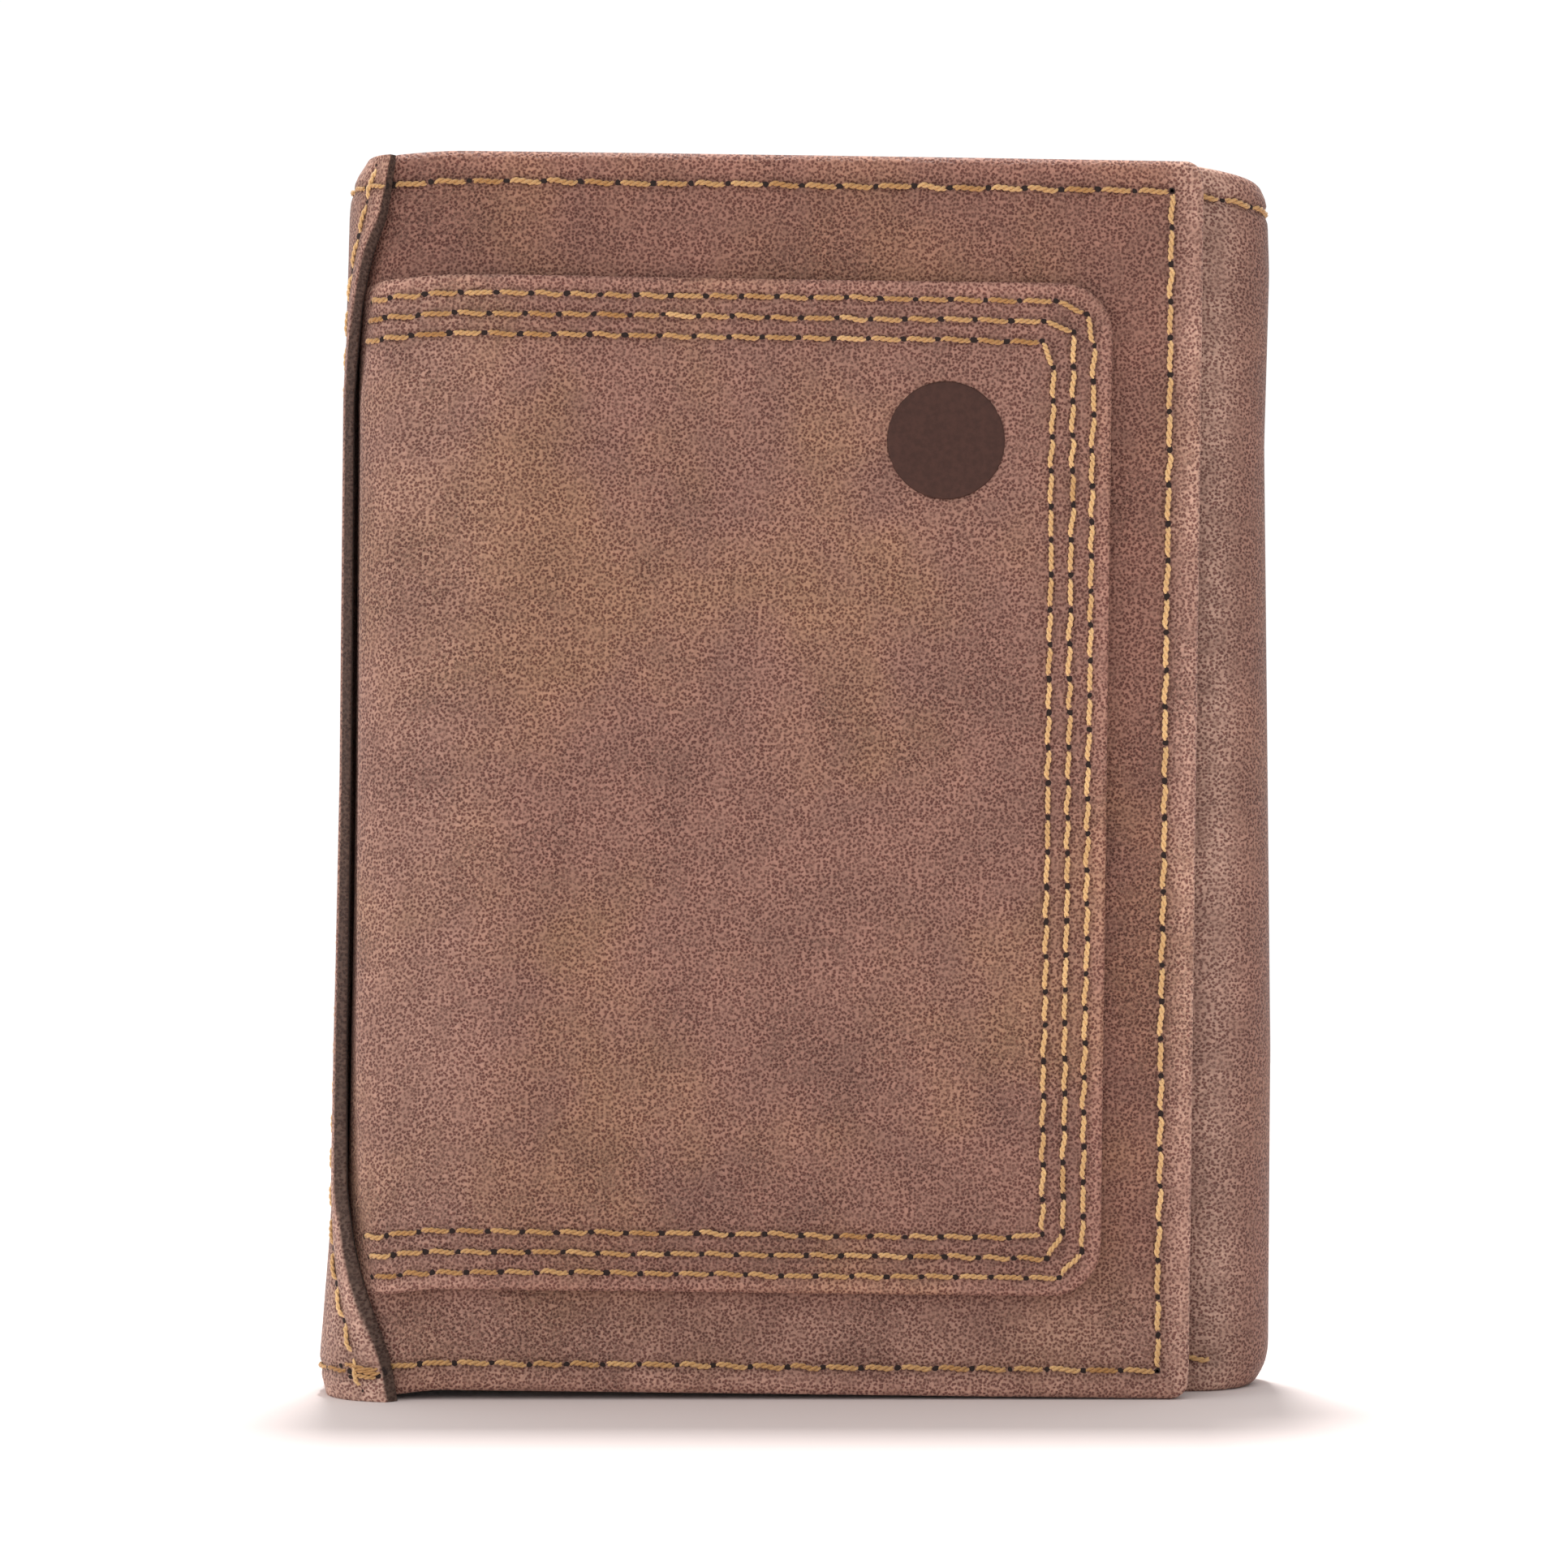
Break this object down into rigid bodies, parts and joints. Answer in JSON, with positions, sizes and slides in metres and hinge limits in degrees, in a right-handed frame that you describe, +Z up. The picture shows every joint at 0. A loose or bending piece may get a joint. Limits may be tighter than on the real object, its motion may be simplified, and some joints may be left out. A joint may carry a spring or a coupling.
{
  "type": "trifold wallet",
  "caption": "Folded leather trifold wallet with a triple-stitched overlay on the front flap, a pocket along the left fold, stepped card pockets and a clear ID window.",
  "frame": {"origin": "middle of the bottom of the folded wallet, on the surface it stands on", "axes": "+Z up the wallet, +X along the front face from the left fold to the right fold, -Y out of the front face"},
  "size_m": [0.0823, 0.0194, 0.108],
  "materials": {
    "outer_leather": "matt, waxed",
    "overlay_leather": "matt, waxed",
    "inner_leather": "matt",
    "lining_fabric": "woven twill",
    "thread": "twisted thread",
    "emblem": "debossed, dark",
    "clear_film": "clear"
  },
  "bodies": {
    "back_panel": {"back_outer_leather": "outer_leather", "back_lining": "lining_fabric", "bill_divider": "lining_fabric", "back_inner_leather": "inner_leather", "back_edge_thread": "thread", "back_pocket_thread": "thread", "back_card_pocket_rear": "inner_leather", "back_card_pocket_middle": "inner_leather", "back_card_pocket_front": "inner_leather", "right_fold_outer_leather": "outer_leather", "right_fold_lining": "lining_fabric", "right_fold_inner_leather": "inner_leather", "right_fold_thread": "thread"},
    "left_spine": {"left_fold_outer_leather": "outer_leather", "left_fold_pocket_leather": "outer_leather", "left_fold_lining": "lining_fabric", "left_fold_inner_leather": "inner_leather", "pocket_mouth_thread": "thread", "left_fold_thread": "thread"},
    "front_flap": {"front_outer_leather": "outer_leather", "front_overlay_leather": "overlay_leather", "emblem_disc": "emblem", "overlay_thread_outer": "thread", "overlay_thread_middle": "thread", "overlay_thread_inner": "thread", "front_edge_thread": "thread", "front_lining": "lining_fabric", "front_inner_leather": "inner_leather", "id_window_film": "clear_film", "id_window_frame": "inner_leather", "id_window_thread": "thread"},
    "inner_flap": {"inner_flap_outer_leather": "outer_leather", "inner_flap_lining": "lining_fabric", "inner_flap_inner_leather": "inner_leather", "inner_flap_edge_thread": "thread", "inner_flap_pocket_thread": "thread", "inner_flap_card_pocket_rear": "inner_leather", "inner_flap_card_pocket_middle": "inner_leather", "inner_flap_card_pocket_front": "inner_leather"}
  },
  "joints": [
    {"name": "left_rear_crease", "type": "hinge", "parent": "back_panel", "child": "left_spine", "pos_m": [-0.03915, 0.00765, 0.054], "axis": [0, 0, -1], "range_deg": [0, 90], "deforming": ["left_fold_outer_leather", "left_fold_pocket_leather", "left_fold_lining", "left_fold_inner_leather", "left_fold_thread"]},
    {"name": "left_front_crease", "type": "hinge", "parent": "left_spine", "child": "front_flap", "pos_m": [-0.03915, -0.00765, 0.054], "axis": [0, 0, -1], "range_deg": [0, 90], "deforming": ["pocket_mouth_thread", "front_overlay_leather"]},
    {"name": "right_fold_bend", "type": "hinge", "parent": "back_panel", "child": "inner_flap", "pos_m": [0.03937, 0.00325, 0.054], "axis": [0, 0, 1], "range_deg": [0, 45], "deforming": ["right_fold_outer_leather", "right_fold_lining", "right_fold_inner_leather", "right_fold_thread"]}
  ],
  "couplings": [
    {"joint": "left_front_crease", "follows": "left_rear_crease", "ratio": 1},
    {"joint": "right_fold_bend", "follows": "left_rear_crease", "ratio": 0.5}
  ]
}
